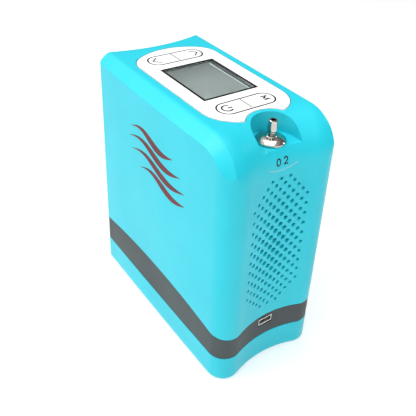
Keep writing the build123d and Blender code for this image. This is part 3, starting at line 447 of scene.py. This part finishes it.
def add_ribbons(name, ribbons, place, material, body):
    """New piece made of ribbons. It rides on a body and takes the finish it is given."""
    mesh = solid_of(name, ribbons, place)
    mesh.materials.append(material)
    thing = bpy.data.objects.new(name, mesh)
    scene.collection.objects.link(thing)
    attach(thing, body)


def arc(centre, radius, start, end, steps=24):
    """Points on a circular arc between two angles in degrees."""
    angles = [radians(start + (end - start) * step / steps) for step in range(steps + 1)]
    return [(centre[0] + radius * cos(angle), centre[1] + radius * sin(angle)) for angle in angles]


def corners_of(name):
    """Lowest and highest corner of a node."""
    low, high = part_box(name)
    return Vector(low), Vector(high)


def middle(name):
    low, high = corners_of(name)
    return (low + high) / 2


def on_top_of(name, above=0.0):
    """Place for ribbons that lie on a node's top, or this much above it."""
    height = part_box(name)[1][2] + above
    return lambda u, v, lift: (u, v, height + lift)


# ---------------------------------------------------------------- panel
KEY_ROWS = {"front": ("key_power", "key_mode"), "back": ("key_down", "key_up")}
KEY_FLANGE = 0.9 * MM     # each key's hidden flange is this much wider than its face
PILL_GAP = 0.7 * MM       # from the keys' faces to the middle of the line round them
JOINT_X = -0.42 * MM      # the line between two keys is printed on the left-hand one
JOINT_SPAN = 0.93         # share of the pill's width that it crosses
LINE = 0.95 * MM
JOINT_LINE = 0.7125 * MM
MARK = 1.2 * MM
LETTER = 1.35 * MM
CHEVRON = 0.96 * MM
EDGE_LINE = 0.34 * MM


def rim_of(name):
    """Outer edge of a node's flat top, as (x, y) points in order."""
    shape = bmesh.new()
    shape.from_mesh(nodes[name].data)
    bmesh.ops.remove_doubles(shape, verts=shape.verts, dist=0.001 * MM)
    shape.edges.index_update()
    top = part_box(name)[1][2] - 0.01 * MM
    flat = {face for face in shape.faces if face.normal.z > 0.99 and face.calc_center_median().z > top}
    rim = {edge.index: edge for edge in shape.edges if sum(face in flat for face in edge.link_faces) == 1}
    loops = []
    while rim:
        loop = list(rim.popitem()[1].verts)
        while True:
            after = next((edge.index for edge in loop[-1].link_edges if edge.index in rim), None)
            if after is None:
                break
            loop.append(rim.pop(after).other_vert(loop[-1]))
        loops.append([(vert.co.x, vert.co.y) for vert in loop[:-1]])
    shape.free()
    return max(loops, key=lambda loop: max(y for x, y in loop) - min(y for x, y in loop))


def add_panel_line():
    """Fine dark line where the panel meets the case."""
    add_ribbons("panel_edge_line", [even(rim_of("control_panel"), EDGE_LINE, True)],
                on_top_of("control_panel"), SOFT_PRINT, "case")


def pill(centre, half_length, radius):
    """Outline of a pill that lies along X."""
    straight = half_length - radius
    right = arc((centre.x + straight, centre.y), radius, -90, 90)
    left = arc((centre.x - straight, centre.y), radius, 90, 270)
    return right + left


def add_key_lines():
    """Lines on the panel just outside the pills, and on each left-hand key along the joint."""
    for row, (left, right) in KEY_ROWS.items():
        low, high = corners_of(left)[0], corners_of(right)[1]
        centre = (low + high) / 2
        radius = (high.y - low.y) / 2 - KEY_FLANGE
        half_length = (high.x - low.x) / 2 - KEY_FLANGE
        outline = pill(centre, half_length + PILL_GAP, radius + PILL_GAP)
        add_ribbons(f"{row}_pill_line", [even(outline, LINE, True)], on_top_of("control_panel"),
                    PRINT, "case")
        joint = [(JOINT_X, centre.y - radius * JOINT_SPAN), (JOINT_X, centre.y + radius * JOINT_SPAN)]
        add_ribbons(f"{row}_joint_line", [even(joint, JOINT_LINE)], on_top_of(left),
                    PRINT, left.replace("key_", "") + "_key")


def chevron(centre, way):
    """Angle bracket whose point lies towards -X where way is -1, and towards +X where it is 1."""
    tail, tip = centre.x + way * 2.9 * MM, centre.x + way * 7.9 * MM
    arm = 4.6 * MM
    return even([(tail, centre.y + arm), (tip, centre.y), (tail, centre.y - arm)], CHEVRON)


def add_key_marks():
    """Marks are read from the -X side, so their tops point to +X."""
    power = middle("key_power") + Vector((-4.2 * MM, 0, 0))
    ring = arc((power.x, power.y), 3.7 * MM, 40, 320, 32)
    bar = [(power.x + 0.4 * MM, power.y), (power.x + 4.2 * MM, power.y)]
    mode = middle("key_mode") + Vector((4.4 * MM, 0, 0))
    letter = [(mode.x + up * MM, mode.y + across * MM)
              for up, across in ((-2.3, 2.3), (2.3, 2.3), (-1.4, 0), (2.3, -2.3), (-2.3, -2.3))]
    marks = {
        "power": [even(ring, MARK), even(bar, MARK)],
        "mode": [even(letter, LETTER)],
        "down": [chevron(middle("key_down"), -1)],
        "up": [chevron(middle("key_up"), 1)],
    }
    for key, ribbons in marks.items():
        add_ribbons(f"{key}_mark", ribbons, on_top_of(f"key_{key}"), PRINT, f"{key}_key")


def add_display_lines():
    """Glass edge of the display: a painted highlight line that glows and a strip on the right, a faint
    line left and back.
    """
    low, high = corners_of("display_lens")
    on_display = on_top_of("lcd_module", PRINT_T)
    right = high.x - 3.1 * MM
    left = low.x + 1.2 * MM
    back = high.y - 1.4 * MM
    bright = [(right, low.y + 0.8 * MM), (right, high.y - 1.2 * MM)]
    faint = [(left, low.y + 1.0 * MM), (left, back), (right - 1.0 * MM, back)]
    strip = [(right + 1.5 * MM, low.y + 0.4 * MM), (right + 1.5 * MM, high.y - 0.6 * MM)]
    # the bright line is a painted highlight of light on the glass edge, and it glows
    add_ribbons("display_painted_highlight", [even(bright, 0.9 * MM)], on_display, PAINTED_GLASS_HIGHLIGHT, "case")
    add_ribbons("display_inner_line", [even(faint, 0.35 * MM)], on_display, PALE_PRINT, "case")
    add_ribbons("display_side_strip", [even(strip, 2.2 * MM)], on_display, STRIP, "case")


# ---------------------------------------------------------------- USB socket
CONTACTS = (-3.5, -1.2, 1.2, 3.5)    # millimetres from the tongue's middle


def add_usb_lips():
    """Rolled front edge of the socket's shell, four times as thick as a print."""
    low, high = corners_of("usb_shell")
    inset = 0.15 * MM
    left, right = low.x + inset, high.x - inset
    bottom, top = low.z + inset, high.z - inset
    loop = [(left, bottom), (right, bottom), (right, top), (left, top)]
    add_ribbons("usb_lips", [even(loop, 0.75 * MM, True)],
                lambda u, v, lift: (u, low.y + 0.05 * MM - 4 * lift, v), NICKEL, "case")


def add_usb_contacts():
    """Four gold contacts on the underside of the socket's tongue."""
    low, high = corners_of("usb_tongue")
    start, end = low.y + 0.4 * MM, high.y - 2 * MM
    places = [(low.x + high.x) / 2 + offset * MM for offset in CONTACTS]
    add_ribbons("usb_contacts", [even([(x, start), (x, end)], 1.2 * MM) for x in places],
                lambda u, v, lift: (u, v, low.z + lift), GOLD, "case")


# ---------------------------------------------------------------- marks laid on the moulded case
OUTSIDE = -0.2            # a plane outside the case, from which the marks are laid onto it
STROKES = (               # millimetres: start and end along Y, height, rise of the wave
    (40, -16, 167, 4.0),
    (43, -26, 157.5, 4.5),
    (40, -32, 147.5, 4.5),
    (27, -33, 137.5, 4.0),
)
STROKE_STEPS = 48
STROKE_TIP = 0.35         # millimetres across at the ends
STROKE_SWELL = 5.6        # and how much more at the widest
OUTLET_MARK = (0.0, 181.6 * MM)
FIGURE = 0.85 * MM


def skin_of(name):
    """A node's surface, for laying marks on."""
    mesh = nodes[name].data
    return BVHTree.FromPolygons([vertex.co for vertex in mesh.vertices],
                                [polygon.vertices for polygon in mesh.polygons])


HOUSING = skin_of("upper_housing")


def onto_side(u, v, lift):
    """Point on the -X side at y = u, z = v."""
    hit = HOUSING.ray_cast(Vector((OUTSIDE, u, v)), Vector((1, 0, 0)))[0]
    return (hit.x - lift, u, v)


def onto_front(u, v, lift):
    """Point on the grille end at x = u, z = v."""
    hit = HOUSING.ray_cast(Vector((u, OUTSIDE, v)), Vector((0, 1, 0)))[0]
    return (u, hit.y - lift, v)


def stroke(start, end, height, rise):
    """Wave that swells from a thin tip and dies down to another."""
    path, widths = [], []
    for step in range(STROKE_STEPS + 1):
        share = step / STROKE_STEPS
        wave = rise * sin(2 * pi * share) * (1 - 0.3 * share)
        swell = max(0.0, sin(pi * share ** 1.25)) ** 1.2
        path.append(((start + (end - start) * share) * MM, (height + wave) * MM))
        widths.append((STROKE_TIP + STROKE_SWELL * swell) * MM)
    return ribbon(path, widths)


def add_airflow_mark():
    """Four plain tapering airflow strokes on the side."""
    add_ribbons("airflow_mark", [stroke(*numbers) for numbers in STROKES], onto_side,
                RED_PRINT, "case")


def add_outlet_mark():
    """O2 under the recess, and a thin line that arcs below it."""
    x, z = OUTLET_MARK
    ring = [(x - 3.6 * MM + 1.6 * MM * cos(t * pi / 16), z + 2.3 * MM * sin(t * pi / 16))
            for t in range(32)]
    two = arc((x + 2.6 * MM, z + 0.9 * MM), 1.4 * MM, 165, -35, 14)
    two += [(x + 1.2 * MM, z - 2.2 * MM), (x + 4.4 * MM, z - 2.2 * MM)]
    add_ribbons("outlet_mark", [even(ring, FIGURE, True), even(two, FIGURE)], onto_front,
                PRINT, "case")
    line = arc((x, z + 22 * MM), 28 * MM, 244, 296, 30)
    add_ribbons("outlet_arc_line", [even(line, 0.35 * MM)], onto_front,
                PALE_PRINT, "case")


add_camera()
add_sky()
add_floor()
add_lights()
scene.view_settings.view_transform = "Standard"
scene.view_settings.gamma = GAMMA
dress_frame()
add_panel_line()
add_key_lines()
add_key_marks()
add_display_lines()
add_usb_lips()
add_usb_contacts()
add_airflow_mark()
add_outlet_mark()
